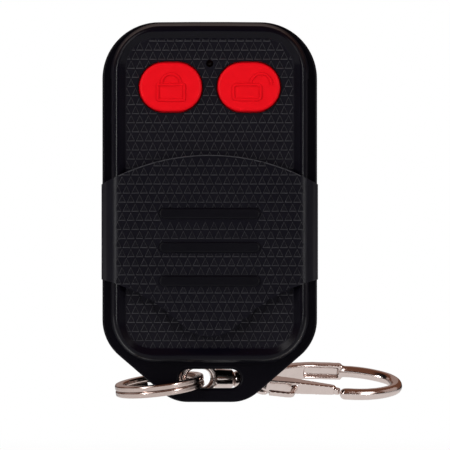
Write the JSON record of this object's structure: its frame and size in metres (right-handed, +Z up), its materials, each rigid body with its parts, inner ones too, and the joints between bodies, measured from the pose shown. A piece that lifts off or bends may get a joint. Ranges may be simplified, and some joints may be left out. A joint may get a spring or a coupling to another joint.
{
  "type": "wireless remote control",
  "caption": "Slim pocket remote control with a padlock button pair, a sliding button cover, and a lanyard tab that carries a split ring and a swivel snap hook.",
  "frame": {"origin": "middle of the lanyard tab's flat foot, halfway through the tab's thickness", "axes": "+Z up along the case, +X to the right seen from the buttons, the button face looks to -Y and the flat back to +Y"},
  "size_m": [0.0505, 0.0232, 0.0637],
  "materials": {
    "black_shell": "moulded black, glossy rim and textured panel",
    "black_cover": "moulded black, textured face and smooth grips",
    "red_button": "satin red",
    "screw_steel": "dark zinc",
    "switch_body": "bright",
    "plunger_plastic": "matt",
    "board_laminate": "green solder mask",
    "chip_plastic": "matt black with tinned legs",
    "tin_can": "bright",
    "component_ceramic": "fired ceramic",
    "copper_track": "bare copper",
    "lamp_plastic": "clear red resin",
    "battery_jacket": "plain metal can",
    "contact_nickel": "nickel plated strip",
    "nickel_plate": "polished nickel plate",
    "spring_steel": "oiled wire"
  },
  "bodies": {
    "case": {"front_shell": "black_shell", "back_shell": "black_shell", "housing_screws": "screw_steel", "circuit_board": "board_laminate", "encoder_chip": "chip_plastic", "resonator": "tin_can", "radio_transistor": "chip_plastic", "chip_components": "component_ceramic", "antenna_loop": "copper_track", "status_led": "lamp_plastic", "battery_cell": "battery_jacket", "battery_contact": "contact_nickel", "battery_spring": "contact_nickel", "lock_switch": "switch_body", "unlock_switch": "switch_body"},
    "cover": {"slide_cover": "black_cover"},
    "lock_cap": {"lock_button": "red_button"},
    "unlock_cap": {"unlock_button": "red_button"},
    "lock_dome": {"lock_plunger": "plunger_plastic"},
    "unlock_dome": {"unlock_plunger": "plunger_plastic"},
    "ring": {"split_ring": "nickel_plate"},
    "eye": {"swivel_eye": "nickel_plate"},
    "hook": {"hook_body": "nickel_plate", "gate_pin": "nickel_plate", "gate_spring": "spring_steel"},
    "gate": {"gate_lever": "nickel_plate"}
  },
  "joints": [
    {"name": "cover_slide", "type": "slide", "parent": "case", "child": "cover", "axis": [0, 0, 1], "range_m": [0, 0.018]},
    {"name": "lock_press", "type": "slide", "parent": "case", "child": "lock_cap", "axis": [0, 1, 0], "range_m": [0, 0.0004], "stiffness_N_per_m": 1500, "springref_m": -0.0004},
    {"name": "unlock_press", "type": "slide", "parent": "case", "child": "unlock_cap", "axis": [0, 1, 0], "range_m": [0, 0.0004], "stiffness_N_per_m": 1500, "springref_m": -0.0004},
    {"name": "lock_plunger_slide", "type": "slide", "parent": "case", "child": "lock_dome", "axis": [0, 1, 0], "range_m": [0, 0.0004]},
    {"name": "unlock_plunger_slide", "type": "slide", "parent": "case", "child": "unlock_dome", "axis": [0, 1, 0], "range_m": [0, 0.0004]},
    {"name": "ring_swing", "type": "hinge", "parent": "case", "child": "ring", "pos_m": [-0.00168, 0, 0.00368], "axis": [0, 1, 0], "range_deg": [-1.5, 8]},
    {"name": "eye_tilt", "type": "hinge", "parent": "ring", "child": "eye", "pos_m": [-0.00257, 0.00326, 0.00397], "axis": [-0.4942, 0.8682, 0.0455], "range_deg": [-1.5, 8]},
    {"name": "hook_swivel", "type": "hinge", "parent": "eye", "child": "hook", "pos_m": [0.00406, 0.00467, 0.00379], "axis": [0.9776, 0.2078, -0.0349], "range_deg": [-4, 60]},
    {"name": "gate_open", "type": "hinge", "parent": "hook", "child": "gate", "pos_m": [0.00904, 0.00476, 0.00327], "axis": [0.1032, -0.3277, 0.9391], "range_deg": [0, 25], "stiffness_Nm_per_rad": 0.01, "springref_deg": -20.05}
  ],
  "couplings": [
    {"joint": "lock_plunger_slide", "follows": "lock_press", "ratio": 1},
    {"joint": "unlock_plunger_slide", "follows": "unlock_press", "ratio": 1}
  ]
}
